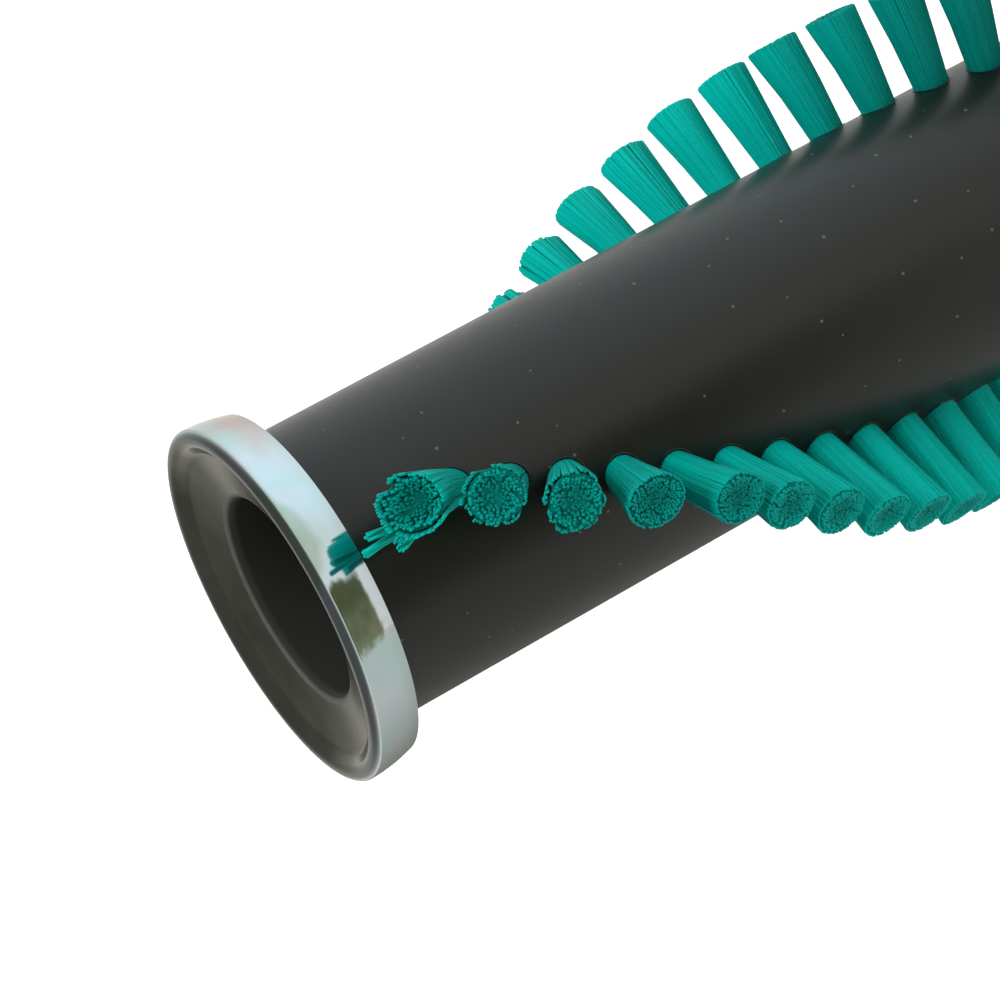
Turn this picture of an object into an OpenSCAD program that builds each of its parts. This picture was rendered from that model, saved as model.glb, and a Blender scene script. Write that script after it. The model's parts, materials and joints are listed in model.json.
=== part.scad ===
// Vacuum cleaner brush roll: a tube with two helical rows of bristle tufts
// and a pressed steel cap with a bearing seat on each end.
// It stands on its lower cap, with the roll's axis along +Z.

/* [Roller] */
// Length over the faces of both end caps
roll_length = 290; // [272:1:340]
// Outside diameter of the tube
tube_d = 38; // [37:0.5:39.5]
// Diameter of the hole through the middle of the tube
tube_bore_d = 22; // [18:0.5:23]
// Chamfer round the tube's outer end edges
tube_chamfer = 0.6; // [0.3:0.1:1.2]

/* [Tuft rows] */
// Distance from a cap's face to the root of the first tuft
first_tuft = 20.7; // [19:0.1:24]
// Length of roll in which the rows make one full turn
helix_lead = 283; // [240:1:400]
// Angle of the front row's uppermost tuft round the roll
row_start = -83.6; // [-180:0.1:180]
// Angle between the two rows
row_gap = 176; // [174:1:186]
// Outward lean of the tuft next to a cap
end_lean = 35; // [20:1:37]
// Number of tufts over which the lean dies away
lean_span = 4.5; // [3:0.5:8]

/* [Tuft shape] */
// Height of the bristle tips over the tube
bristle_h = 13.8; // [11:0.1:16]
// Diameter of the packed bristles in the drilled hole
tuft_d = 4.6; // [4:0.1:4.8]
// Diameter of the bristles at the cut tip
tip_d = 7.2; // [6:0.1:7.6]
// Height over the tube at which the bristles start to spread
neck_h = 2.2; // [2:0.1:3]
// Depth of the hollow in the cut tip
tip_hollow = 0.6; // [0.3:0.1:1]
// Rounding of the tip's outer edge
tip_round = 0.8; // [0.4:0.1:1]
// Chamfer of the folded end in the hole
foot_cut = 0.5; // [0.3:0.1:0.8]
// Depth of the drilled holes
hole_depth = 6; // [5.5:0.1:6.5]
// Radial clearance of the packed bristles in their hole
hole_fit = 0.1; // [0.05:0.05:0.2]

/* [Anchors] */
// Thickness of the flat wire that holds a tuft down
anchor_t = 0.5; // [0.3:0.1:0.8]
// Height of the anchor along the hole
anchor_h = 1.8; // [1:0.1:2.2]
// Height of the anchor over the bottom of the hole
anchor_lift = 0.8; // [0.5:0.1:1.2]
// Clearance round an anchor
anchor_fit = 0.05; // [0.02:0.01:0.1]

/* [End caps] */
// Thickness of the cap's sheet
sheet = 0.9; // [0.8:0.1:1]
// Outside diameter of the cap's rim
cap_d = 47; // [45:0.2:50]
// Depth of the rim along the roll
rim_depth = 6.4; // [5:0.1:7]
// Rounding from the cap's face into its rim
rim_round = 1.2; // [1.1:0.1:1.8]
// How far the rim draws in towards its open edge
rim_draw = 0.8; // [0.2:0.1:1]
// Width of the flat ring on the cap's face
face_flat = 1; // [0.6:0.1:1.6]
// Width of the steep band inside that ring
dish_band = 1.5; // [1.2:0.1:2]
// Depth of the steep band
dish_step = 1.3; // [0.8:0.1:1.5]
// Depth of the face where it turns into the bearing seat
dish_depth = 2.8; // [2:0.1:3.2]
// Inside diameter of the bearing seat
seat_d = 26; // [25:0.5:27]
// Straight length of the bearing seat
seat_length = 8.4; // [7:0.1:9]
// Rounding of the seat's mouth
lip_round = 1.4; // [1.3:0.1:1.8]
// Diameter of the hole in the bottom of the seat
stop_d = 21; // [18:0.5:22]
// Radial clearance of the seat in the tube
seat_fit = 0.05; // [0.02:0.01:0.1]
// Clearance under the bottom of the seat
seat_gap = 0.3; // [0.2:0.1:0.5]
// Clearance of the pocket's mouth round the bend in the sheet
mouth_gap = 0.2; // [0.1:0.05:0.4]

/* [Hidden] */
stations = 38;
// Names of the tuft pairs, counted from the upper end
function two(i) = str(i < 10 ? "0" : "", i);

$fn = 96;
eps = 0.01;
tube_r = tube_d / 2;
brush_r = tube_r + bristle_h;
cap_r = cap_d / 2;
seat_r = seat_d / 2;
hole_r = tuft_d / 2 + hole_fit;
corner_round = 0.5;
bend_steps = 7;

// Distance between stations, and the bend radius inside the dish
pitch = (roll_length - 2 * first_tuft) / (stations - 1);
dish_bend = 1.6;

// Depths below the cap's face
lip_depth = dish_depth + lip_round;
stop_depth = lip_depth + seat_length + corner_round;
tube_end = dish_depth + sheet;
pocket_depth = stop_depth + sheet + seat_gap;
pocket_r = seat_r + sheet + seat_fit;
mouth_cut = lip_round - sheet + mouth_gap;

// Place and lean of each station of the two rows
function station_z(i) = roll_length - first_tuft - (i - 1) * pitch;
function station_angle(i) = row_start - 360 * (i - 1) * pitch / helix_lead;
function end_count(i) = min(i - 1, stations - i);
function lean(i) = (i <= stations / 2 ? 1 : -1) * end_lean * max(0, 1 - end_count(i) / lean_span);

// Moves children from the origin, pointing up, to a tuft's root, pointing along its bristles
module at_root(i, side) {
    rotate([0, 0, station_angle(i) + side * row_gap])
        translate([tube_r, 0, station_z(i)])
            rotate([0, 90 - lean(i), 0])
                children();
}

// Rounded path: each inner corner p[i] of a polyline gets the radius r[i]
function unit(v) = v / norm(v);
function spin(v, a) = [v.x * cos(a) - v.y * sin(a), v.x * sin(a) + v.y * cos(a)];
function bend(a, b, c, r) =
    let (u = unit(b - a), v = unit(c - b),
         side = sign(u.x * v.y - u.y * v.x),
         turn = acos(max(-1, min(1, u * v))),
         start = b - u * r * tan(turn / 2),
         centre = start + side * r * [-u.y, u.x])
    [for (k = [0:bend_steps]) centre + spin(start - centre, side * turn * k / bend_steps)];
function rounded(p, r) = concat(
    [p[0]],
    [for (i = [1:len(p) - 2]) each bend(p[i - 1], p[i], p[i + 1], r[i])],
    [p[len(p) - 1]]);

// The same path one sheet further to its right
function right_of(d) = [d.y, -d.x];
function shifted(p, t) =
    [for (i = [0:len(p) - 1])
        let (u = unit(i == 0 ? p[1] - p[0] : p[i] - p[i - 1]),
             v = unit(i == len(p) - 1 ? p[i] - p[i - 1] : p[i + 1] - p[i]),
             n = unit(right_of(u) + right_of(v)))
        p[i] + n * t / (n * right_of(u))];

// Front of the pressed sheet, from the seat's bottom out to the rim's edge, face at height 0
flat_out = cap_r - rim_round;
slope = atan(dish_step / dish_band);
flat_in = flat_out - face_flat - dish_bend * tan(slope / 2);
rim_turn = atan(rim_draw / (rim_depth / 2));
rim_bulge = 0.9 * (rim_depth / 2 - rim_round) / tan(rim_turn / 2);
face_path = rounded(
    [[stop_d / 2, -stop_depth], [seat_r, -stop_depth], [seat_r, -dish_depth],
     [flat_in - dish_band, -dish_step], [flat_in, 0], [cap_r, 0],
     [cap_r, -rim_depth / 2], [cap_r - rim_draw, -rim_depth]],
    [0, corner_round, lip_round, dish_bend, dish_bend, rim_round, rim_bulge, 0]);
back_path = shifted(face_path, sheet);

module cap() {
    rotate_extrude($fn = 128)
        polygon(concat(face_path, [for (i = [len(back_path) - 1:-1:0]) back_path[i]]));
}

// Tube with a pocket for each cap's bearing seat and a drilled hole for each tuft
module roller_tube() {
    color([0.13, 0.125, 0.11])
    difference() {
        translate([0, 0, tube_end])
            rotate_extrude($fn = 128)
                polygon([
                    [tube_bore_d / 2, 0], [tube_r - tube_chamfer, 0], [tube_r, tube_chamfer],
                    [tube_r, roll_length - 2 * tube_end - tube_chamfer],
                    [tube_r - tube_chamfer, roll_length - 2 * tube_end],
                    [tube_bore_d / 2, roll_length - 2 * tube_end]]);
        for (end = [0, 1])
            translate([0, 0, end * roll_length])
                mirror([0, 0, end]) {
                    cylinder(r = pocket_r, h = pocket_depth);
                    translate([0, 0, tube_end])
                        cylinder(r1 = pocket_r + mouth_cut, r2 = pocket_r, h = mouth_cut);
                }
        for (i = [1:stations], side = [0, 1])
            at_root(i, side)
                translate([0, 0, -hole_depth])
                    cylinder(r = hole_r, h = hole_depth + tube_r / 4, $fn = 48);
    }
}

module end_cap_top() {
    color([0.72, 0.74, 0.74])
        translate([0, 0, roll_length]) cap();
}

module end_cap_bottom() {
    color([0.72, 0.74, 0.74])
        rotate([180, 0, 0]) cap();
}

// Bristle bundle: packed in its hole, folded round the anchor, flared and hollow at the tip.
// The finished roll is trimmed as it turns, so the cut end follows the roll at any lean.
module tuft(lean) {
    tr = tip_d / 2;
    r0 = tuft_d / 2;
    foot = hole_depth - hole_fit;
    cut = (brush_r - tube_r) / cos(lean);
    top = cut + tr * tan(abs(lean));
    hollow_r = tr - tip_round - 0.1;
    hollow_slope = (hollow_r - tr / 3) / tip_hollow;
    difference() {
        rotate_extrude($fn = 48)
            polygon(concat(
                [[0, -foot], [r0 - foot_cut, -foot], [r0, -foot + foot_cut], [r0, neck_h]],
                [for (k = [0.25, 0.5, 0.75])
                    [r0 + (tr - r0) * pow(k, 1.3), neck_h + (top - tip_round - neck_h) * k]],
                [[tr, top - tip_round], [tr - tip_round * 0.3, top - tip_round * 0.3],
                 [tr - tip_round, top], [0, top]]));
        translate([0, 0, cut])
            rotate([0, lean, 0]) {
                if (lean != 0) cylinder(r = 2 * tip_d, h = tip_d, $fn = 48);
                translate([0, 0, -tip_hollow])
                    cylinder(r1 = tr / 3, r2 = hollow_r + tip_hollow * hollow_slope,
                             h = 2 * tip_hollow, $fn = 48);
            }
        translate([-anchor_t / 2 - anchor_fit, -tuft_d, -hole_depth + anchor_lift - anchor_fit])
            cube([anchor_t + 2 * anchor_fit, 2 * tuft_d, anchor_h + 2 * anchor_fit]);
    }
}

// Flat piece of wire across the bottom of a tuft hole
module anchor() {
    translate([-anchor_t / 2, -hole_r + anchor_fit, -hole_depth + anchor_lift])
        cube([anchor_t, 2 * (hole_r - anchor_fit), anchor_h]);
}

module tuft_pair(i) {
    color([0.0, 0.55, 0.5])
        for (side = [0, 1]) at_root(i, side) tuft(lean(i));
}

module anchor_row(side) {
    color("silver")
        for (i = [1:stations]) at_root(i, side) anchor();
}

roller_tube();
end_cap_top();
end_cap_bottom();
anchor_row(0);  // anchors_front_row
anchor_row(1);  // anchors_back_row
for (i = [1:stations])
    tuft_pair(i);
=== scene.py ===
# %% [markdown]
# # Brush roll of a vacuum cleaner
#
# A brush roll is a plastic tube with two rows of bristle tufts that wind
# round it, and a pressed steel cap with a bearing seat on each end. The CAD
# model already holds every size. Here the same pieces get their looks: the
# plating of the caps, the gloss of the tube, and tufts made of single
# bristles in place of the plain solids. Everything is in metres.

import json
import math

import bpy
import numpy as np
from mathutils import Matrix, Vector


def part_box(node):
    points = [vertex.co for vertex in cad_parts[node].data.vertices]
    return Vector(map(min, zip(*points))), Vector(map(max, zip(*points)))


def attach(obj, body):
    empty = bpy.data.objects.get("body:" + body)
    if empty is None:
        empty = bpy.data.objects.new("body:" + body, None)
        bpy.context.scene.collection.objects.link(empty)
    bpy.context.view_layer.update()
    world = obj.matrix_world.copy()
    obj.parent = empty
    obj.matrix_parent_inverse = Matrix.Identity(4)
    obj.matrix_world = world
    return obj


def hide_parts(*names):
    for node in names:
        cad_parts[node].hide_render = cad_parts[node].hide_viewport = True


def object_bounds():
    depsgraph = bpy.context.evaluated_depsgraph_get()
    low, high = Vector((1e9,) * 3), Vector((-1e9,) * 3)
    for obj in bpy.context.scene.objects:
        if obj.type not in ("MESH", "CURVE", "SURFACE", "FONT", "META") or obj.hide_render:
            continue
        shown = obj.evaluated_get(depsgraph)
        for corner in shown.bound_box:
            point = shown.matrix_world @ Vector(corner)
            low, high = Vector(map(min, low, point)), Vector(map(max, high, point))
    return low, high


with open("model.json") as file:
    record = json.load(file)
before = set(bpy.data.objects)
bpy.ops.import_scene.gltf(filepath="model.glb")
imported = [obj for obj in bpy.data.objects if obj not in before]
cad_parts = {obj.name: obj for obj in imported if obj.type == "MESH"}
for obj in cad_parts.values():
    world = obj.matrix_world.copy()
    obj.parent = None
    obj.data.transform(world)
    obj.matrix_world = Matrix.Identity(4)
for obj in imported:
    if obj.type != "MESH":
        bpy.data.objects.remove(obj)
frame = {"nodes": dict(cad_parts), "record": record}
cad_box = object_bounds()
MM = 0.001
print("CAD nodes:", len(frame["nodes"]), "box:", cad_box)

# %% [markdown]
# ## Sizes
#
# Everything that can be read from the frame is read from it, so a change in
# the CAD model moves the looks along with it. The rest are the same values
# that the CAD model is drawn from: how the rows wind, how the tufts next to
# the caps lean outwards, and how the steel sheet is bent.

# %% Sizes from the frame
roll_length = cad_box[1][2]
tube_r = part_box("roller_tube")[1].x
cap_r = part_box("end_cap_top")[1].x
seat = [m for m in frame["record"]["mounts"] if m["name"] == "bearing_seat_top"][0]
seat_r = seat["dims"]["r_mm"] * MM
seat_length = seat["dims"]["length_mm"] * MM
print("length", roll_length, "tube", tube_r, "cap", cap_r, "seat", seat_r)

# %% Sizes of the rows
STATIONS = 38
FIRST_TUFT = 20.7 * MM
HELIX_LEAD = 283 * MM
ROW_START = math.radians(-83.6)
ROW_GAP = math.radians(176)
END_LEAN = math.radians(35)
LEAN_SPAN = 4.5
BRISTLE_HEIGHT = 13.8 * MM
ROOT_R = 2.3 * MM
TIP_R = 3.6 * MM
HOLE_DEPTH = 6 * MM
pitch = (roll_length - 2 * FIRST_TUFT) / (STATIONS - 1)
print("pitch", round(pitch / MM, 2), "mm")

# %% [markdown]
# ## Camera
#
# The photograph looks down on one end of the roll from about forty
# centimetres, with the camera rolled over so that the roll runs from the
# lower left to the upper right. A long lens keeps the far tufts nearly as
# large as the near ones. The place is given from the middle of the upper cap.

# %% Camera
SENSOR, LENS = 36, 124.2  # width and focal length in millimetres
CAMERA_ASIDE = -1.9 * MM
CAMERA_AWAY = 395.6 * MM
CAMERA_ABOVE = 107.2 * MM
CAMERA_PITCH = math.radians(70.59)
CAMERA_ROLL = math.radians(-118.85)

camera = bpy.data.objects.new("camera", bpy.data.cameras.new("camera"))
camera.data.sensor_width, camera.data.lens = SENSOR, LENS
camera.data.clip_start = 10 * MM
camera.matrix_world = (
    Matrix.Translation((CAMERA_ASIDE, -CAMERA_AWAY, roll_length + CAMERA_ABOVE))
    @ Matrix.Rotation(CAMERA_PITCH, 4, "X")
    @ Matrix.Rotation(CAMERA_ROLL, 4, "Z")
)
bpy.context.scene.collection.objects.link(camera)
bpy.context.scene.camera = camera
bpy.context.scene.view_settings.view_transform = "Standard"
print("camera at", [round(v, 4) for v in camera.location])

# %% [markdown]
# ## A small language for materials
#
# A material is a graph of nodes, and long graphs are easier to read as sums.
# `Value` wraps one socket, so that `1 - mask * 0.5` adds the Math nodes by
# itself. `Graph.node` adds every kind of node: first its settings, then what
# goes into its sockets, then which of its outputs are wanted. The methods
# under it are short names for the nodes that are used most.

# %% Shader sums
class Value:
    """One output socket that arithmetic works on."""

    def __init__(self, graph, socket):
        self.graph, self.socket = graph, socket

    def __add__(self, other):
        return self.graph.math("ADD", self, other)

    def __radd__(self, other):
        return self.graph.math("ADD", other, self)

    def __sub__(self, other):
        return self.graph.math("SUBTRACT", self, other)

    def __rsub__(self, other):
        return self.graph.math("SUBTRACT", other, self)

    def __mul__(self, other):
        return self.graph.math("MULTIPLY", self, other)

    def __rmul__(self, other):
        return self.graph.math("MULTIPLY", other, self)

    def __truediv__(self, other):
        return self.graph.math("DIVIDE", self, other)

    def __pow__(self, other):
        return self.graph.math("POWER", self, other)

    def __gt__(self, other):
        return self.graph.math("GREATER_THAN", self, other)

    def clamp(self):
        return self.graph.math("ADD", self, 0, clamp=True)


print("a Value can do",
      [name.strip("_") for name, made in vars(Value).items() if callable(made)])

# %% Shader graph
class Graph:
    """The node tree of one material or of the world."""

    def __init__(self, owner):
        owner.use_nodes = True
        self.tree = owner.node_tree
        self.tree.nodes.clear()

    def node(self, kind, settings=None, sockets=None, out=0):
        """Adds a node and returns its output `out`, or a list if `out` names several."""
        made = self.tree.nodes.new(kind)
        for name, value in (settings or {}).items():
            setattr(made, name, value)
        for name, value in (sockets or {}).items():
            if isinstance(value, Value):
                self.tree.links.new(value.socket, made.inputs[name])
            else:
                made.inputs[name].default_value = value
        if isinstance(out, tuple):
            return [Value(self, made.outputs[k]) for k in out]
        return Value(self, made.outputs[out])

    def math(self, operation, a, b, clamp=False):
        return self.node(
            "ShaderNodeMath", {"operation": operation, "use_clamp": clamp}, {0: a, 1: b})

    def mix(self, factor, a, b):
        return self.node("ShaderNodeMix", {"data_type": "RGBA"}, {0: factor, 6: a, 7: b}, 2)

    def scaled(self, vector, by):
        return self.node("ShaderNodeVectorMath", {"operation": "MULTIPLY"}, {0: vector, 1: by})

    def split(self, vector):
        return self.node("ShaderNodeSeparateXYZ", None, {0: vector}, (0, 1, 2))

    def noise(self, vector, scale, detail):
        return self.node("ShaderNodeTexNoise", None, {
            "Vector": vector, "Scale": scale, "Detail": detail})

    def place(self):
        return self.node("ShaderNodeTexCoord", out="Object")

    def bump(self, height, strength, distance):
        return self.node("ShaderNodeBump", None, {
            "Height": height, "Strength": strength, "Distance": distance})

    def output(self, shader, kind="ShaderNodeOutputMaterial"):
        self.node(kind, None, {"Surface": shader}, ())

    def surface(self, sockets):
        self.output(self.node("ShaderNodeBsdfPrincipled", None, sockets))


def new_material(name):
    material = bpy.data.materials.new(name)
    return material, Graph(material)


print("a Graph can do", [name for name in vars(Graph) if not name.startswith("_")])

# %% [markdown]
# ## Studio
#
# The roll stands on a pale floor that fills the picture. Seen directly or in
# a reflection the floor is lifted to plain white, as a lit paper sweep would
# be, while its own diffuse light still carries the roll's shadow. The room
# above gets darker towards the ceiling, and sooner on the camera's side, because
# bright plating only looks like metal when it has something dark to mirror.

# %% Floor
FLOOR_SIZE = 9.0
FLOOR_LIFT = 0.62  # glow that lifts the lit paper to plain white
MIRRORED_SHARE = 0.45  # how much of that glow a reflection shows
WHITE, WARM_WHITE, PAPER = (1, 1, 1, 1), (1.0, 1.0, 0.91, 1), (0.80, 0.80, 0.79, 1)
bpy.ops.object.select_all(action="DESELECT")
bpy.ops.mesh.primitive_plane_add(size=FLOOR_SIZE)
floor = bpy.context.object
floor.name = "floor"
paper, graph = new_material("floor_paper")
camera_ray, glossy_ray, clear_ray = graph.node(
    "ShaderNodeLightPath", out=("Is Camera Ray", "Is Glossy Ray", "Is Transmission Ray"))
seen = (camera_ray + MIRRORED_SHARE * glossy_ray + MIRRORED_SHARE * clear_ray).clamp()
plain = graph.node("ShaderNodeBsdfDiffuse", None, {"Color": PAPER})
lift = graph.node("ShaderNodeEmission", None, {
    "Color": graph.mix(camera_ray, WARM_WHITE, WHITE), "Strength": seen * FLOOR_LIFT})
graph.output(graph.node("ShaderNodeAddShader", None, {0: plain, 1: lift}))
floor.data.materials.append(paper)
print("floor", FLOOR_SIZE, "m")

# %% Room
CEILING, WALL = 0.09, 0.85
FALLOFF = 3.6  # how fast the wall gets dark with height, doubled on the camera's side
world = bpy.data.worlds.new("room")
bpy.context.scene.world = world
graph = Graph(world)
camera_ray = graph.node("ShaderNodeLightPath", out="Is Camera Ray")
_, behind, height = graph.split(graph.node("ShaderNodeTexCoord", out="Generated"))
falloff = FALLOFF + FALLOFF * (behind * -1.6).clamp()
level = CEILING + (WALL - CEILING) * (1 - height).clamp() ** falloff
graph.output(graph.node("ShaderNodeBackground", None, {
    "Color": graph.mix(camera_ray, (1.0, 0.99, 0.95, 1), WHITE),
    "Strength": level * (1 - camera_ray) + camera_ray}), "ShaderNodeOutputWorld")
print("room from", CEILING, "to", WALL)

# %% [markdown]
# The key is a sun with a very wide disc, which works like a large softbox:
# soft shadows, and an even level over the whole floor. Two wide lamps fill
# the other sides. The lamps light the roll but are kept out of its
# reflections, where they would show as hard white spots. Each level says how
# bright a white card facing the lamp would be.

# %% Lamps
KEY_LEVEL, KEY_SPREAD = 0.66, math.radians(40)
FILL_LEVEL, FILL_SIZE, FILL_AWAY = 0.20, 1.0, 1.4
aim = Vector((0, 0, roll_length * 0.85))


def lamp_way(azimuth, elevation):
    """The direction in which a lamp stands, as seen from the roll."""
    a, e = math.radians(azimuth), math.radians(elevation)
    return Vector((math.cos(a) * math.cos(e), math.sin(a) * math.cos(e), math.sin(e)))


def add_lamp(name, kind, way, distance, energy):
    """A lamp that looks at the upper part of the roll and shows in no reflection."""
    lamp = bpy.data.objects.new(name, bpy.data.lights.new(name, kind))
    lamp.data.energy = energy
    lamp.matrix_world = (Matrix.Translation(aim + way * distance)
                         @ way.to_track_quat("Z", "Y").to_matrix().to_4x4())
    lamp.visible_glossy = False
    bpy.context.scene.collection.objects.link(lamp)
    return lamp


key = add_lamp("key_lamp", "SUN", lamp_way(azimuth=-30, elevation=48), distance=2,
               energy=KEY_LEVEL * math.pi)
key.data.angle = KEY_SPREAD
for name, azimuth, elevation in (("fill_lamp", -135, 20), ("back_lamp", 70, 15)):
    lamp = add_lamp(name, "AREA", lamp_way(azimuth, elevation), FILL_AWAY,
                    FILL_LEVEL * (math.pi * FILL_AWAY) ** 2)
    lamp.data.shape, lamp.data.size = "DISK", FILL_SIZE
print("lamps", len(bpy.data.lights))

# %% [markdown]
# Gloss needs contrast as well. Three cards stand round the roll: a small dark
# one beside the camera, a cool bright one that stands for a window, and on the
# side away from the key a large grey one that fades towards the back. The two
# large ones slope outwards like a funnel. Only reflections see the cards: they
# cast no shadow and are not in the picture.

# %% Cards
def add_card(name, azimuths, distances, heights, start, end, sharp=0, ragged=0):
    """A bent card: degrees round the roll, metres from its axis and metres up.

    Its colour runs from start to end round the roll. With sharp its edges fade out, and
    the higher the number, the narrower the fade. With ragged they are uneven as well.
    """
    bpy.ops.object.select_all(action="DESELECT")
    bpy.ops.mesh.primitive_grid_add(x_subdivisions=16, y_subdivisions=1, size=2)
    card = bpy.context.object
    card.name = name
    for v in card.data.vertices:
        turn = math.radians(azimuths[0] + (azimuths[1] - azimuths[0]) * (v.co.x + 1) / 2)
        away, rise = (pair[0] + (pair[1] - pair[0]) * (v.co.y + 1) / 2
                      for pair in (distances, heights))
        v.co = (away * math.cos(turn), away * math.sin(turn), rise)
    material, graph = new_material(name)
    on_card = graph.node("ShaderNodeUVMap")
    across, up, _ = graph.split(on_card)
    fade = (across * 1.4 + ragged * 4 * (graph.noise(on_card, 5, 3) - 0.5)).clamp()
    glow = graph.node("ShaderNodeEmission", None, {
        "Color": graph.mix(fade, (*start, 1), (*end, 1)), "Strength": 1.0})
    if sharp:
        across = across + ragged * (graph.noise(on_card, 6, 4) - 0.5)
        up = up + ragged * (graph.noise(on_card, 9, 4) - 0.5)
        inside = (across * (1 - across) * sharp).clamp() * (up * (1 - up) * sharp).clamp()
        clear = graph.node("ShaderNodeBsdfTransparent")
        glow = graph.node("ShaderNodeMixShader", None, {0: inside, 1: clear, 2: glow})
    graph.output(glow)
    card.data.materials.append(material)
    card.visible_camera = card.visible_diffuse = card.visible_shadow = False
    card.visible_transmission = False


FUNNEL, FUNNEL_HEIGHTS = (0.10, 0.45), (0.002, 0.24)
add_card("dark_card", (-141, -93), (0.25, 0.25), (0.08, 0.27),
         start=(0.24, 0.25, 0.15), end=(0.10, 0.11, 0.05), sharp=12, ragged=0.34)
add_card("window_card", (-66, 44), FUNNEL, FUNNEL_HEIGHTS,
         start=(0.95, 1.12, 1.20), end=(1.02, 1.16, 1.20), sharp=5)
add_card("grey_card", (-262, -138), FUNNEL, FUNNEL_HEIGHTS,
         start=(0.24, 0.25, 0.215), end=(0.62, 0.65, 0.62))
print("cards in place")

# %% [markdown]
# ## Tube
#
# The tube is moulded in a dark brown-black plastic with a medium gloss. Its
# CAD shape is right as it stands, so only its material is new: a nearly black
# body with a faint mottling in colour and gloss, and the pale specks of dust
# that settle on such a part. The specks sit in the cells of a Voronoi pattern
# that is laid on the unrolled tube, and chance leaves some cells empty.

# %% Tube plastic
SPECK_SPACING = 7.5 * MM
SPECK_CHANCE = 0.65
SPECK_BASE, SPECK_GAIN = 0.012, 0.028  # radius in spacings: the least, and what luck adds
TUBE_DARK, TUBE_BROWN = (0.0062, 0.0060, 0.0036, 1), (0.0105, 0.0102, 0.0068, 1)
DUST = (0.26, 0.25, 0.22, 1)
plastic, graph = new_material("tube_plastic")
place = graph.place()
body = graph.mix(graph.noise(place, 160, 4), TUBE_DARK, TUBE_BROWN)
x, y, z = graph.split(place)
unrolled = graph.node(
    "ShaderNodeCombineXYZ", None, {0: graph.math("ARCTAN2", y, x) * tube_r, 1: z})
distance, chance = graph.node("ShaderNodeTexVoronoi", {"voronoi_dimensions": "2D"}, {
    "Vector": unrolled, "Scale": 1 / SPECK_SPACING}, ("Distance", "Color"))
picked = graph.node("ShaderNodeSeparateColor", None, {0: chance})
speck_size = SPECK_BASE + SPECK_GAIN * picked
speck = (1.6 - 1.6 * distance / speck_size).clamp() * (picked > 1 - SPECK_CHANCE)
colour = graph.mix(speck * 0.55, body, DUST)
rough = 0.30 + 0.10 * graph.noise(place, 420, 3) + speck * 0.3
grain = graph.bump(graph.noise(place, 900, 3), 0.12, 0.04 * MM)
graph.surface({"Base Color": colour, "Roughness": rough, "IOR": 1.49, "Normal": grain})
frame["nodes"]["roller_tube"].data.materials.clear()
frame["nodes"]["roller_tube"].data.materials.append(plastic)
print("tube faces", len(frame["nodes"]["roller_tube"].data.polygons))

# %% [markdown]
# The anchors are short pieces of flat wire deep in the tufts, so hardly
# anything of them ever shows, and they keep their CAD shape. Wire is drawn
# through a die, which leaves streaks along it. A noise that is squeezed in
# height gives such streaks, because every anchor lies level.

# %% Anchor wire
WIRE_DARK, WIRE_LIGHT = (0.42, 0.42, 0.40, 1), (0.60, 0.60, 0.58, 1)
wire, graph = new_material("anchor_wire")
place = graph.place()
drawn = graph.noise(graph.scaled(place, (300, 300, 4000)), 1, 2)
graph.surface({"Base Color": graph.mix(drawn, WIRE_DARK, WIRE_LIGHT),
               "Metallic": 1.0, "Roughness": 0.25 + 0.2 * drawn})
for name in ("anchors_front_row", "anchors_back_row"):
    frame["nodes"][name].data.materials.clear()
    frame["nodes"][name].data.materials.append(wire)
print("wire on both anchor rows")

# %% [markdown]
# ## End caps
#
# Each cap is one disc of thin steel, pressed in a few strokes: the rim is
# turned back round the tube's end, the face is dished, and the middle is
# drawn into a cup that holds the ball bearing. A maker would draw half of its
# section and turn it, so this is done here too: the section is extruded point
# by point, its corners are bevelled to their bend radii, it is spun into a
# full turn, and Solidify gives the sheet its thickness. The fold between face
# and rim shows as a thin line in the photograph, so it is bent a little
# tighter here than in the CAD model, with a narrower flat beside it.

# %% Section of the cap
SHEET = 0.9 * MM
RIM_DEPTH, RIM_DRAW, RIM_ROUND = 6.4 * MM, 0.8 * MM, 0.95 * MM
FACE_FLAT, DISH_BAND, DISH_STEP, DISH_DEPTH = 0.35 * MM, 1.5 * MM, 1.3 * MM, 2.8 * MM
DISH_BEND, LIP_ROUND, CORNER_ROUND, STOP_R = 1.6 * MM, 1.4 * MM, 0.5 * MM, 10.5 * MM
stop_depth = DISH_DEPTH + LIP_ROUND + seat_length + CORNER_ROUND
band_slope = math.atan2(DISH_STEP, DISH_BAND)
flat_in = cap_r - RIM_ROUND - FACE_FLAT - DISH_BEND * math.tan(band_slope / 2)
rim_turn = math.atan2(RIM_DRAW, RIM_DEPTH / 2)
rim_bulge = 0.9 * (RIM_DEPTH / 2 - RIM_ROUND) / math.tan(rim_turn / 2)
section = [  # radius, depth below the face, bend radius, segments of the bend
    (STOP_R, stop_depth, 0, 0),
    (seat_r, stop_depth, CORNER_ROUND, 6),
    (seat_r, DISH_DEPTH, LIP_ROUND, 10),
    (flat_in - DISH_BAND, DISH_STEP, DISH_BEND, 8),
    (flat_in, 0, DISH_BEND, 8),
    (cap_r, 0, RIM_ROUND, 14),
    (cap_r, RIM_DEPTH / 2, rim_bulge, 12),
    (cap_r - RIM_DRAW, RIM_DEPTH, 0, 0),
]
print("section points", len(section))


def select_points(mesh_object, wanted):
    """Selects vertices by their place, for the edit-mode operator that follows."""
    bpy.ops.object.mode_set(mode="OBJECT")
    mesh = mesh_object.data
    for part in (mesh.vertices, mesh.edges, mesh.polygons):
        part.foreach_set("select", [False] * len(part))
    chosen = [v for v in mesh.vertices if wanted(v.co)]
    for v in chosen:
        v.select = True
    bpy.ops.object.mode_set(mode="EDIT")
    return len(chosen)

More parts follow.
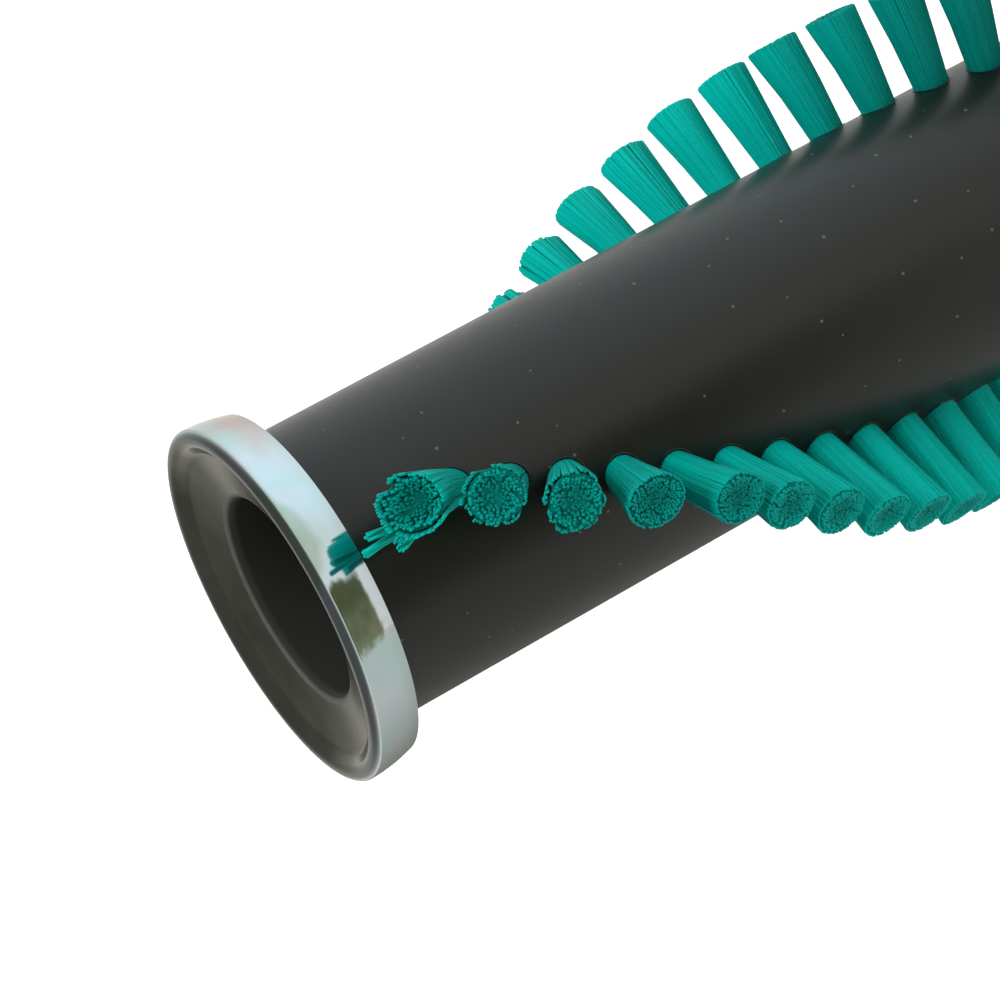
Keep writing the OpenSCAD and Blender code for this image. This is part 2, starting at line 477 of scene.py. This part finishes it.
# %% Draw and round the section
bpy.ops.object.select_all(action="DESELECT")
bpy.ops.mesh.primitive_plane_add(size=2 * MM)
cap = bpy.context.object
cap.name = "cap_top"
bpy.ops.object.mode_set(mode="EDIT")
bpy.ops.mesh.select_mode(type="VERT")
bpy.ops.mesh.select_all(action="SELECT")
bpy.ops.mesh.merge(type="CENTER")
bpy.ops.transform.translate(value=(section[0][0], 0, -section[0][1]))
for before, after in zip(section, section[1:]):
    step = (after[0] - before[0], 0, before[1] - after[1])
    bpy.ops.mesh.extrude_region_move(TRANSFORM_OT_translate={"value": step})
for k in range(1, len(section) - 1):
    here = Vector((section[k][0], 0, -section[k][1]))
    back = Vector((section[k - 1][0], 0, -section[k - 1][1])) - here
    ahead = Vector((section[k + 1][0], 0, -section[k + 1][1])) - here
    turn = math.pi - back.angle(ahead)
    found = select_points(cap, lambda co: (co - here).length < 0.01 * MM)
    bpy.ops.mesh.bevel(offset=section[k][2] * math.tan(turn / 2), segments=section[k][3],
                       affect="VERTICES", profile=0.5)
    print("corner", k, "found", found, "turn", round(math.degrees(turn)))

# %% Spin it and give it its sheet
SPIN_STEPS = 180
bpy.ops.mesh.select_all(action="SELECT")
bpy.ops.mesh.spin(steps=SPIN_STEPS, angle=2 * math.pi, center=(0, 0, 0), axis=(0, 0, 1))
bpy.ops.mesh.select_all(action="SELECT")
bpy.ops.mesh.remove_doubles(threshold=0.001 * MM)
bpy.ops.mesh.normals_make_consistent(inside=False)
bpy.ops.object.mode_set(mode="OBJECT")
face = max(cap.data.polygons, key=lambda p: p.center.z)
if face.normal.z < 0:
    cap.data.flip_normals()
sheet = cap.modifiers.new("sheet", "SOLIDIFY")
sheet.thickness, sheet.offset, sheet.use_even_offset = SHEET, -1, True
bpy.ops.object.modifier_apply(modifier=sheet.name)
bpy.ops.object.shade_smooth_by_angle(angle=math.radians(35))
print("cap faces", len(cap.data.polygons), "size", [round(v / MM, 2) for v in cap.dimensions])

# %% [markdown]
# The plating is bright but not a perfect mirror: the press leaves faint rings
# that follow the turn, and handling leaves soft, cloudy patches. The rings
# come from a noise on the distance from the axis and the clouds from a larger
# noise. Both touch the roughness, and a very shallow bump adds the rings and
# soft dents. Thin zinc plating is never one colour: a film thinner than a soap
# bubble turns it faintly aqua here and lilac there. One side is blue, with a
# green stain near the fold, and further round it turns duller and pink. The
# duller, darker tint there is painted shade, to dim what that side mirrors. In
# the dish it is greyer and darker, with mottled patches, and rougher. Inside the
# cup it is almost black and not metallic: partly the dark wall of the bore,
# partly painted shade deep in the bore.

# %% Plated steel
RINGS_PER_METRE = 9000
STEEL_DARK, STEEL_LIGHT = (0.58, 0.66, 0.65, 1), (0.66, 0.74, 0.75, 1)
AQUA, LILAC = (0.54, 0.70, 0.69, 1), (0.69, 0.67, 0.73, 1)
# The first colour here is a duller, darker tint, painted as shade over one side of the cap to
# dim what that side mirrors.
SHADED_SIDE_TINT, BLUE, GREEN, PINK = (
    (0.50, 0.54, 0.54, 1), (0.60, 0.725, 0.78, 1), (0.42, 0.54, 0.47, 1), (0.62, 0.50, 0.47, 1))
# The dish colours are greyer and darker than the rest of the plating, mottled by the clouds.
DISH_DARK, DISH_LIGHT = (0.36, 0.365, 0.315, 1), (0.52, 0.525, 0.465, 1)
# Inside the cup the plating goes almost black: partly the dark wall of the bore, partly painted
# shade deep in the bore.
BORE_DARK_AND_SHADE = (0.036, 0.038, 0.033, 1)
plate, graph = new_material("cap_plating")
place = graph.place()
x, y, z = graph.split(place)
radius = (x * x + y * y) ** 0.5
depth = graph.math("MINIMUM", z, roll_length - z)
turned = graph.node("ShaderNodeCombineXYZ", None, {0: radius, 1: z})
rings = graph.noise(turned, RINGS_PER_METRE, 3)
clouds = graph.noise(place, 120, 4)
hue = graph.noise(place, 110, 2)
film = ((graph.noise(place, 150, 2) - 0.5) * 6 + 0.5).clamp()


def side(azimuth):
    """1 on this side of the roll's axis, 0 a quarter turn away from it."""
    turn = math.radians(azimuth)
    return (x * math.cos(turn) + y * math.sin(turn)) / radius


blue = ((side(-76) - 0.84) * 6 + (hue - 0.5) * 2.5).clamp()
green = ((side(-74) - 0.975) * 50 - (depth - 2.2 * MM) / (1.1 * MM)
         + (hue - 0.5) * 6).clamp()
# painted shade: a darker tint over the side of the cap round -20 degrees
shaded_side = ((side(-20) - 0.60) * 4).clamp()
off_fold = ((depth - 2 * MM) / (2 * MM)).clamp()
pink = ((side(-12) - 0.84) * 6 + (hue - 0.45) * 4).clamp() * off_fold
dish = ((cap_r - 0.4 * MM - radius) / (1.5 * MM)).clamp()
cup = ((seat_r + LIP_ROUND - 0.1 * MM - radius) / (0.9 * MM)).clamp()

tint = graph.mix(clouds, STEEL_DARK, STEEL_LIGHT)
tint = graph.mix(shaded_side, tint, SHADED_SIDE_TINT)
tint = graph.mix(0.6, tint, graph.mix(film, AQUA, LILAC))
tint = graph.mix(blue, tint, BLUE)
tint = graph.mix(green * 0.85, tint, GREEN)
tint = graph.mix(pink * 0.8, tint, PINK)
tint = graph.mix(dish, tint, graph.mix((clouds * 3 - 1).clamp(), DISH_DARK, DISH_LIGHT))
# dark wall and painted shade: inside the cup the tint turns almost black
tint = graph.mix(cup, tint, BORE_DARK_AND_SHADE)
rough = 0.03 + 0.10 * clouds * clouds + 0.05 * rings + 0.10 * dish + 0.35 * cup
dents = graph.noise(place, 70, 2) + 0.04 * rings
graph.surface({"Base Color": tint, "Metallic": 1 - cup, "Roughness": rough,
               "Specular Tint": (0.80, 0.79, 0.79, 1),
               "Normal": graph.bump(dents, 0.25, 0.12 * MM)})
cap.data.materials.append(plate)
print("plating nodes", len(graph.tree.nodes))

# %% [markdown]
# The lower cap is out of the photograph and is taken to be like the upper one,
# so it is a copy with its own mesh, turned over. Turn and place go into the
# meshes, and both objects stay at the origin, as the CAD nodes do.

# %% Both caps in place
def finished(piece, node):
    """Says what a piece moves with, and hides the CAD node that it stands for."""
    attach(piece, "root")
    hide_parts(node)


lower = cap.copy()
lower.data, lower.name = cap.data.copy(), "cap_bottom"
bpy.context.scene.collection.objects.link(lower)
lower.data.transform(Matrix.Rotation(math.pi, 4, "X"))
cap.data.transform(Matrix.Translation((0, 0, roll_length)))
finished(cap, "end_cap_top")
finished(lower, "end_cap_bottom")
print("caps at", round(roll_length / MM), "and 0 mm")

# %% [markdown]
# ## Where the tufts stand
#
# The two rows wind round the tube like two threads of a screw. A tuft's place
# follows from its station along the roll: the height, the turn, and a lean
# towards the nearer cap that dies away over the first few stations.

# %% Place of a tuft
def station_height(i):
    return roll_length - FIRST_TUFT - (i - 1) * pitch


def station_turn(i, row):
    return ROW_START - 2 * math.pi * (i - 1) * pitch / HELIX_LEAD + row * ROW_GAP


def station_lean(i):
    from_end = min(i - 1, STATIONS - i)
    way = 1 if i <= STATIONS / 2 else -1
    return way * END_LEAN * max(0, 1 - from_end / LEAN_SPAN)


def tuft_place(i, row):
    """Moves a bundle from the origin, pointing up, into its hole in the tube."""
    return np.array(
        Matrix.Rotation(station_turn(i, row), 4, "Z")
        @ Matrix.Translation((tube_r, 0, station_height(i)))
        @ Matrix.Rotation(math.pi / 2 - station_lean(i), 4, "Y"))


for i in (1, 2, 19, 38):
    print("station", i, "at", round(station_height(i) / MM, 1), "mm, lean",
          round(math.degrees(station_lean(i))))

# %% [markdown]
# Lips and tufts are each modelled once and then repeated in many places of
# one piece. A small helper turns such a list of copies into one mesh, and
# keeps a number for each point where a material asks for one.

# %% Many copies, one mesh
def piece_from(name, copies, attributes=()):
    """Joins copies, each given as its points, its faces and the values of its attributes."""
    corners, start = [], 0
    for copy in copies:
        corners += [[v + start for v in face] for face in copy[1]]
        start += len(copy[0])
    mesh = bpy.data.meshes.new(name)
    mesh.from_pydata(np.concatenate([copy[0] for copy in copies]).tolist(), [], corners)
    for k, title in enumerate(attributes):
        values = np.concatenate([copy[2 + k] for copy in copies]).astype(np.float32)
        mesh.attributes.new(title, "FLOAT", "POINT").data.foreach_set("value", values)
    mesh.polygons.foreach_set("use_smooth", [len(face) == 4 for face in corners])
    mesh.validate()
    piece = bpy.data.objects.new(name, mesh)
    bpy.context.scene.collection.objects.link(piece)
    return piece


def taken(model):
    """The points and faces of a given model, which is then removed."""
    points = np.array([v.co for v in model.data.vertices])
    faces = [tuple(p.vertices) for p in model.data.polygons]
    bpy.data.objects.remove(model)
    return points, faces


# %% [markdown]
# ## Lips round the tuft holes
#
# Where a tuft is driven into its hole, the plastic is pushed up into a thin
# lip that catches the light. One lip is a ring, flattened to a low bead. It is
# laid on the curve of the tube at every hole, and stretched along the roll
# where the hole leans.

# %% Hole lips
LIP_R, LIP_HALF, LIP_FLATTEN = 2.5 * MM, 0.15 * MM, 0.6
bpy.ops.object.select_all(action="DESELECT")
bpy.ops.mesh.primitive_torus_add(major_segments=28, minor_segments=6,
                                 major_radius=LIP_R, minor_radius=LIP_HALF)
lip = bpy.context.object
bpy.ops.object.mode_set(mode="EDIT")
bpy.ops.mesh.select_all(action="SELECT")
bpy.ops.transform.resize(value=(1, 1, LIP_FLATTEN))
bpy.ops.object.mode_set(mode="OBJECT")
lip_points, lip_faces = taken(lip)
copies = []
for i in range(1, STATIONS + 1):
    for row in (0, 1):
        along, across, up = lip_points.T
        laid = np.column_stack([np.sqrt(tube_r ** 2 - across ** 2) + up, across,
                                station_height(i) + along / math.cos(station_lean(i))])
        turned = laid @ np.array(Matrix.Rotation(station_turn(i, row), 3, "Z")).T
        copies.append((turned, lip_faces))
lips = piece_from("hole_lips", copies)
lips.data.materials.append(plastic)
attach(lips, "root")
print("lips", len(copies), "faces", len(lips.data.polygons))

# %% [markdown]
# ## Bristles
#
# A tuft is a bundle of nylon bristles, folded over a piece of wire and
# stapled into a drilled hole. A full bundle has far more bristles than anyone
# sees, so its heart is one closed core, and single bristles are laid over its
# side and stood in its cut end. Core and bristle are the same model: a prism
# with a bending point at each whole height and a rounded end. Four sides are
# enough for a bristle, and with thousands of copies every face counts.

# %% One bristle
def strand(sides, spans):
    """A prism of radius 1 with a bending point at each whole height and a rounded end."""
    bpy.ops.object.select_all(action="DESELECT")
    bpy.ops.mesh.primitive_cylinder_add(
        vertices=sides, radius=1, depth=spans, location=(0, 0, spans / 2))
    model = bpy.context.object
    bpy.ops.object.transform_apply(location=True, rotation=True, scale=True)
    bpy.ops.object.mode_set(mode="EDIT")
    for height in range(1, spans):
        bpy.ops.mesh.select_all(action="SELECT")
        bpy.ops.mesh.bisect(plane_co=(0, 0, height), plane_no=(0, 0, 1))
    bpy.ops.mesh.select_mode(type="VERT")
    select_points(model, lambda co: co.z > spans - 0.01)
    bpy.ops.mesh.select_mode(type="FACE")
    bpy.ops.mesh.inset(thickness=0.35, depth=0)
    bpy.ops.mesh.select_mode(type="VERT")
    select_points(model, lambda co: co.z > spans - 0.01 and co.xy.length > 0.9)
    bpy.ops.transform.translate(value=(0, 0, -0.03))
    bpy.ops.object.mode_set(mode="OBJECT")
    return taken(model)


core, side_bristle, end_bristle, loose_bristle = (
    strand(20, 4), strand(4, 4), strand(4, 1), strand(4, 10))
print("faces of core and bristles:",
      [len(model[1]) for model in (core, side_bristle, end_bristle, loose_bristle)])

# %% [markdown]
# ## Tufts
#
# In its hole each bundle is round and split by the wire. Above the tube it
# spreads like a shaving brush, its bristles gather in a few loose clumps, and
# the cutter leaves the middle a little hollow. The roll is trimmed as it
# turns, so a leaning tuft is cut at a slant: each bristle ends where it meets
# the cutter. So every bristle gets a path of a few points, and the model above
# is bent along it. Every tuft is drawn with its own seed, so no two are the
# same, and the result never changes.

# %% Paths of one bundle
SIDE_COUNT, END_COUNT = 104, 200
GOLDEN_ANGLE = math.pi * (3 - math.sqrt(5))
WIRE_HALF = 0.30 * MM
FOLD_LOW, FOLD_HIGH = 0.3 * MM, 1.7 * MM  # over the bottom of the hole
CORE_FOOT = 2.8 * MM
SIDE_RADII = np.array([0.12, 0.14, 0.15, 0.18, 0.20]) * MM  # at the points of a path
END_RADII = np.array([0.22, 0.24]) * MM
JITTER = 0.014  # in the place of a side bristle, as a part of the bundle's radius
TIP_INSET = 0.17 * MM  # of the side bristles' tips from the bundle's edge
EDGE_ROUND = 0.55 * MM  # how much shorter the bristles at the very edge are
END_DISC = 0.92  # the part of the bundle that the end bristles fill
CLUMPS, SPIKES = 8, 15
SPIKE_REACH, SPIKE_PULL, SPIKE_SHORT = (-0.12, 0.20), 0.55, 0.45 * MM
# painted light of a cut end: dark as painted shade in its hollow middle, lighter at the edge
CENTRE_LIGHT, EDGE_LIGHT = 0.33, 0.80


def ring_spots(rng):
    """The outer bristles of a bundle of radius 1, side by side."""
    k = np.arange(SIDE_COUNT)
    turn = k * 2 * math.pi / SIDE_COUNT + rng.normal(0, JITTER, SIDE_COUNT)
    radius = 0.985 - np.abs(rng.normal(0, JITTER, SIDE_COUNT))
    return np.stack([radius * np.cos(turn), radius * np.sin(turn)], 1)


def disc_spots(count, rng):
    """Points spread evenly over a disc of radius 1."""
    k = np.arange(count)
    radius, turn = np.sqrt((k + 0.5) / count), k * GOLDEN_ANGLE + rng.uniform(0, 6)
    return np.stack([radius * np.cos(turn), radius * np.sin(turn)], 1)


def meets_cutter(root, tip, length, slope, sway):
    """The height at which a bristle on its way from root to tip meets the slanted cut."""
    away = (tip - root)[:, 0] * slope / length
    return (length - (root[:, 0] + sway[0]) * slope) / (1 + away)


def below_cut(spots, hollow, ragged, rng):
    """How far a bristle stays below the cut: hollow in the middle, rounded at the edge."""
    edge = np.minimum(np.linalg.norm(spots, axis=1), 1)
    uneven = np.abs(rng.normal(0, 0.04 + 0.16 * ragged, len(spots))) * MM
    return (1 - edge ** 2.5) * hollow + EDGE_ROUND * edge ** 10 + uneven


def spiked(spots, ragged, rng):
    """Worn tufts have their bristles drawn together in spikes of uneven reach."""
    turn = np.arctan2(spots[:, 1], spots[:, 0])
    starts = np.sort(rng.uniform(-math.pi, math.pi, SPIKES))
    which = np.argmin(np.abs(np.angle(np.exp(1j * (turn[:, None] - starts[None])))), axis=1)
    out = 1 + ragged * rng.uniform(*SPIKE_REACH, SPIKES)[which]
    pull = turn + SPIKE_PULL * ragged * np.angle(np.exp(1j * (starts[which] - turn)))
    radius = np.linalg.norm(spots, axis=1) * out
    short = ragged * np.abs(rng.normal(0, SPIKE_SHORT, SPIKES))[which]
    return np.stack([radius * np.cos(pull), radius * np.sin(pull)], 1), short


print("a bundle has", SIDE_COUNT, "side bristles and", END_COUNT, "end bristles")

# %% [markdown]
# A side bristle is seen over its whole length when a tuft is looked at from
# beside it, so its path has five points: under the wire, beside the wire, at
# the tube's skin, half way up and at the cut. Of an end bristle only the tip
# shows between its neighbours, and two points are enough.

# %% Side bristles and end bristles
def side_paths(rng, length, slope, hollow, ragged, sway, stretch):
    """Paths of the outer bristles, from the fold under the wire up to the cut."""
    spots = ring_spots(rng)
    skin = spots * (ROOT_R - 0.08 * MM)
    ends, short = spiked(spots, ragged, rng)
    ends = ends * stretch * (TIP_R - TIP_INSET) + rng.normal(
        0, 0.03 + 0.09 * ragged, spots.shape) * MM
    cut = meets_cutter(skin, ends, length, slope, sway) - short
    cut -= below_cut(spots, hollow, ragged, rng)
    ends = skin + (ends - skin) * (cut / length)[:, None]
    half = skin + (ends - skin) * 0.44 + np.array(sway) * 0.3
    beside = skin * (0.85, 0.92)
    beside[:, 0] += np.sign(skin[:, 0]) * WIRE_HALF
    under = skin * (0.35, 0.85)
    heights = [np.full(SIDE_COUNT, FOLD_LOW - HOLE_DEPTH),
               np.full(SIDE_COUNT, FOLD_HIGH - HOLE_DEPTH),
               np.zeros(SIDE_COUNT), cut / 2, cut]
    flat = [under, beside, skin, half, ends + sway]
    return np.stack([np.column_stack([p, h]) for p, h in zip(flat, heights)], 1)


def end_paths(rng, length, slope, hollow, ragged, sway, stretch):
    """Paths of the bristles in the cut end, and how near each is to its edge."""
    spots = disc_spots(END_COUNT, rng) * END_DISC
    clumps = disc_spots(CLUMPS, rng) * 0.7
    nearest = clumps[np.argmin(np.linalg.norm(spots[:, None] - clumps[None], axis=2), axis=1)]
    tips = spots + (nearest - spots) * (0.12 + 0.20 * ragged)
    tips = tips + rng.normal(0, 0.015 + 0.04 * ragged, spots.shape)
    tips = tips * stretch * (TIP_R - 0.2 * MM)
    root = spots * ROOT_R * 0.88
    cut = meets_cutter(root, tips, length, slope, sway) - below_cut(spots, hollow, ragged, rng)
    low = cut - hollow - 1.5 * MM
    ends = [np.column_stack([root + (tips - root) * (height / length)[:, None]
                             + np.array(sway) * part, height])
            for height, part in ((low, 0.7), (cut, 1.0))]
    return np.stack(ends, 1), np.linalg.norm(spots, axis=1) / END_DISC


plain_bundle = (np.random.default_rng(1), BRISTLE_HEIGHT, 0, MM, 0, np.zeros(2), (1, 1))
print("bristles, points of a path:", side_paths(*plain_bundle).shape[:2],
      end_paths(*plain_bundle)[0].shape[:2])

# %% [markdown]
# A Curve modifier could bend each bristle along its path, but that is slow for
# twenty thousand of them. Numpy moves the points of the model itself: a point
# at some height goes to that part of the path, and sideways by its radius.

# %% Bend copies of a model along paths
def along_paths(model, paths, radii, rng, tone=None):
    """Points and faces, and for each point its part of the way up and its shade."""
    points, faces = model
    count, rings = paths.shape[:2]
    ring = np.clip(points[:, 2], 0, rings - 1)
    low = np.minimum(ring.astype(int), rings - 2)
    part = (ring - low)[:, None]
    spots = paths[:, low] * (1 - part) + paths[:, low + 1] * part
    width = np.interp(ring, np.arange(rings), radii)
    turn = rng.uniform(0, math.pi / 2, (count, 1))
    x, y = points[:, 0] * width, points[:, 1] * width
    spots[..., 0] += x * np.cos(turn) - y * np.sin(turn)
    spots[..., 1] += x * np.sin(turn) + y * np.cos(turn)
    shade = np.repeat(rng.uniform(0, 1, count) if tone is None else [tone] * count, len(points))
    rise = np.tile(ring / (rings - 1), count)
    corners = [[v + k * len(points) for v in f] for k in range(count) for f in faces]
    return spots.reshape(-1, 3), corners, rise, shade


def core_copy(rng, length, slope, hollow, ragged, sway, stretch):
    """The core: its radius stays just under the side bristles, its top is a bowl."""
    top = length - hollow - 0.3 * MM
    part = np.array([0, 0, 0.5, 0.8, 1.0])
    path = np.zeros((1, 5, 3))
    path[0, :, 2] = [-CORE_FOOT, *(part[1:] * top)]
    tip_r = TIP_R - TIP_INSET - 0.2 * MM * abs(slope)
    reach = ROOT_R + (tip_r - ROOT_R) * part * top / length - 0.16 * MM
    points, faces, rise, shade = along_paths(core, path, reach, rng, 0.3)
    out = np.linalg.norm(points[:, :2], axis=1) / reach[-1]
    bowl = np.where(rise > 0.99, np.clip((out - 0.66) / 0.34, 0, 1), 0)
    part = np.interp(rise, np.linspace(0, 1, 5), part)[:, None]
    points[:, :2] *= 1 + (np.array(stretch) - 1) * part
    points[:, :2] += sway * part ** 1.7
    points[:, 2] += 0.6 * hollow * bowl - points[:, 0] * slope * rise ** 3
    # painted shade: the core is darker than the bristles, and darkest on its top
    return points, faces, np.where(rise > 0.99, CENTRE_LIGHT, 0.5), shade


def tuft(rng, lean, ragged=0.02, hollow=0.9 * MM, sway=(0, 0), stretch=(1, 0.88), worn=0,
         tone=1):
    """One tuft at the origin, pointing up: three lots of points, faces, light and shade.

    hollow is how deep its end is dished, sway how far its tips are pushed aside, stretch
    how wide they spread, worn how much shorter it is and tone how much of its painted
    light it keeps, a painted shade over the whole tuft.
    """
    length, slope = BRISTLE_HEIGHT / math.cos(lean) - worn, math.tan(lean)
    sway = np.array(sway) + rng.normal(0, 0.08, 2) * MM
    shape = (rng, length, slope, hollow, ragged, sway, stretch)
    heart = core_copy(*shape)
    points, faces, rise, shade = along_paths(
        side_bristle, side_paths(*shape), SIDE_RADII, rng)
    # painted shade: the side bristles get darker towards the root
    sides = (points, faces, 0.72 + 0.28 * rise, shade)
    paths, edge = end_paths(*shape)
    points, faces, rise, shade = along_paths(end_bristle, paths, END_RADII, rng)
    # painted shade: a cut end is darkest in its hollow middle
    light = CENTRE_LIGHT + (EDGE_LIGHT - CENTRE_LIGHT) * edge ** 1.3
    ends = (points, faces, np.repeat(light, len(end_bristle[0])), 0.25 + 0.5 * shade)
    # tone darkens every lot of the tuft, a painted shade
    return [(lot[0], lot[1], lot[2] * tone, lot[3]) for lot in (heart, sides, ends)]


print("faces of a tuft's lots:",
      [len(lot[1]) for lot in tuft(np.random.default_rng(1), 0)])

# %% [markdown]
# The tufts nearest the photographed end are worn: the first few of the front
# row and the first that show of the back row are ragged, and some are short.
# One leans over its neighbour, and the very first is pressed open like a cup,
# with three locks of bristles bent over towards the rim of the cap. Some tufts
# are darker than others, as painted shade for tufts that lie in shadow. A table
# holds only what sets such a tuft apart, and all the others are plain.

# %% Wear and painted shade of single tufts
# tone darkens a tuft as painted shade; the other keys are its wear
WEAR_AND_SHADE = {  # by station and row
    (1, 0): {"ragged": 0.5, "hollow": 3.2 * MM, "stretch": (1.0, 1.05),
             "sway": (0, -1.2 * MM)},
    (2, 0): {"ragged": 0.55, "hollow": 1.2 * MM, "stretch": (1, 1), "tone": 0.80},
    (3, 0): {"ragged": 0.55, "hollow": 1.1 * MM, "stretch": (1, 1), "sway": (-0.7 * MM, 0),
             "tone": 0.80},
    (4, 0): {"ragged": 0.10, "hollow": 1.1 * MM, "stretch": (1.1, 0.86), "tone": 0.70},
    (5, 0): {"ragged": 0.15, "sway": (1.5 * MM, 0), "tone": 0.75},
    (6, 0): {"ragged": 0.15, "hollow": 0.6 * MM, "worn": 0.2 * MM, "tone": 0.92},
    (7, 0): {"ragged": 0.12, "hollow": 0.6 * MM, "worn": 0.3 * MM, "tone": 0.95},
    (6, 1): {"ragged": 0.5, "worn": 2.8 * MM, "stretch": (0.85, 0.85), "sway": (-0.9 * MM, 0)},
    (7, 1): {"ragged": 0.3, "worn": 1.3 * MM, "sway": (-0.5 * MM, 0)},
    (8, 1): {"ragged": 0.12, "worn": 0.6 * MM, "sway": (-0.7 * MM, 0)},
    (9, 1): {"ragged": 0.10, "worn": 0.3 * MM, "sway": (-0.4 * MM, 0)},
    (10, 1): {"sway": (-0.2 * MM, 0)},
    (11, 1): {"sway": (-0.3 * MM, 0), "tone": 0.95},
    (12, 1): {"sway": (-1.0 * MM, 0), "tone": 0.72},
    (13, 1): {"sway": (-1.1 * MM, 0), "tone": 0.55},
    (14, 1): {"sway": (-0.6 * MM, 0), "tone": 0.41},
    (15, 1): {"sway": (-0.6 * MM, 0), "tone": 0.33},
    (16, 1): {"tone": 0.35},
    (17, 1): {"tone": 0.50},
    (18, 1): {"tone": 0.70},
    (19, 1): {"tone": 0.85},
}
LOCKS = (  # strands, turn past the tuft in degrees, reach, depth below the face, spread
    (22, 6.2, 29.5 * MM, 4.8 * MM, 0.22 * MM),
    (10, 3.3, 29.5 * MM, 5.9 * MM, 0.18 * MM),
    (26, 8.1, 30.3 * MM, 8.7 * MM, 0.42 * MM))
LOCK_ROOT = np.array([-0.9, -1.1, 0]) * MM  # in the frame of the first tuft
LOCK_BEND = np.array([-1.4, -2.2, 9.5]) * MM
ROOT_JITTER, BEND_JITTER = 0.40 * MM, 0.45 * MM
LOCK_POINTS = 11
LOCK_RADII = np.linspace(0.16, 0.19, LOCK_POINTS) * MM


def lock_paths(rng):
    """Loose strands of the first tuft, already in place on the roll."""
    place = tuft_place(1, 0)
    root, bend = (place[:3, :3] @ spot + place[:3, 3] for spot in (LOCK_ROOT, LOCK_BEND))
    t = np.linspace(0, 1, LOCK_POINTS)[:, None]
    paths = []
    for strands, past, reach, depth, spread in LOCKS:
        turn = ROW_START - math.radians(past)
        end = np.array([reach * math.cos(turn), reach * math.sin(turn), roll_length - depth])
        for _ in range(strands):
            start = root + rng.normal(0, ROOT_JITTER, 3)
            middle = bend + rng.normal(0, BEND_JITTER, 3)
            tip = end + rng.normal(0, spread, 3)
            paths.append((1 - t) ** 2 * start + 2 * t * (1 - t) * middle + t ** 2 * tip)
    return np.array(paths)


print("worn tufts", len(WEAR_AND_SHADE), "loose strands", sum(lock[0] for lock in LOCKS))

# %% [markdown]
# ## Nylon
#
# The nylon is dyed through in a strong teal, and each bristle has a slightly
# different shade. Shade is also painted into the colour: a cut end is darker
# than a side, most in its hollow middle, the shafts get darker towards the root,
# and the core inside the bundle is darker still. Each point carries its painted light.

# %% Nylon
# The first teal is the colour in full painted shade; a point's painted light mixes it towards
# the dyed teal.
TEAL_IN_SHADE, TEAL, TEAL_PALE = (
    (0.0, 0.12, 0.10, 1), (0.0, 0.50, 0.43, 1), (0.0, 0.63, 0.55, 1))
nylon, graph = new_material("tuft_nylon")
light = graph.node("ShaderNodeAttribute", {"attribute_name": "light"}, out=2)
shade = graph.node("ShaderNodeAttribute", {"attribute_name": "shade"}, out=2)
graph.surface({"Base Color": graph.mix(light, TEAL_IN_SHADE, graph.mix(shade, TEAL, TEAL_PALE)),
               "Roughness": 0.45 + 0.15 * shade, "Specular IOR Level": 0.10})
print("nylon ready")

# %% [markdown]
# The two tufts of a station make one piece, as they do in the CAD model. Each
# is bent at the origin, pointing up, and then turned into its hole.

# %% All tufts, one piece for each station
for i in range(1, STATIONS + 1):
    lots = []
    for row in (0, 1):
        rng = np.random.default_rng(1000 * row + i)
        place = tuft_place(i, row)
        for lot in tuft(rng, station_lean(i), **WEAR_AND_SHADE.get((i, row), {})):
            lots.append((lot[0] @ place[:3, :3].T + place[:3, 3], *lot[1:]))
    if i == 1:
        rng = np.random.default_rng(7)
        points, faces, rise, shade = along_paths(
            loose_bristle, lock_paths(rng), LOCK_RADII, rng)
        # painted shade: the loose strands get darker towards the root
        lots.append((points, faces, 0.75 + 0.25 * rise, shade))
    piece = piece_from(f"bristles_{i:02d}", lots, ("light", "shade"))
    piece.data.materials.append(nylon)
    finished(piece, f"tuft_pair_{i:02d}")
print("tufts", 2 * STATIONS, "faces in the last piece", len(piece.data.polygons))
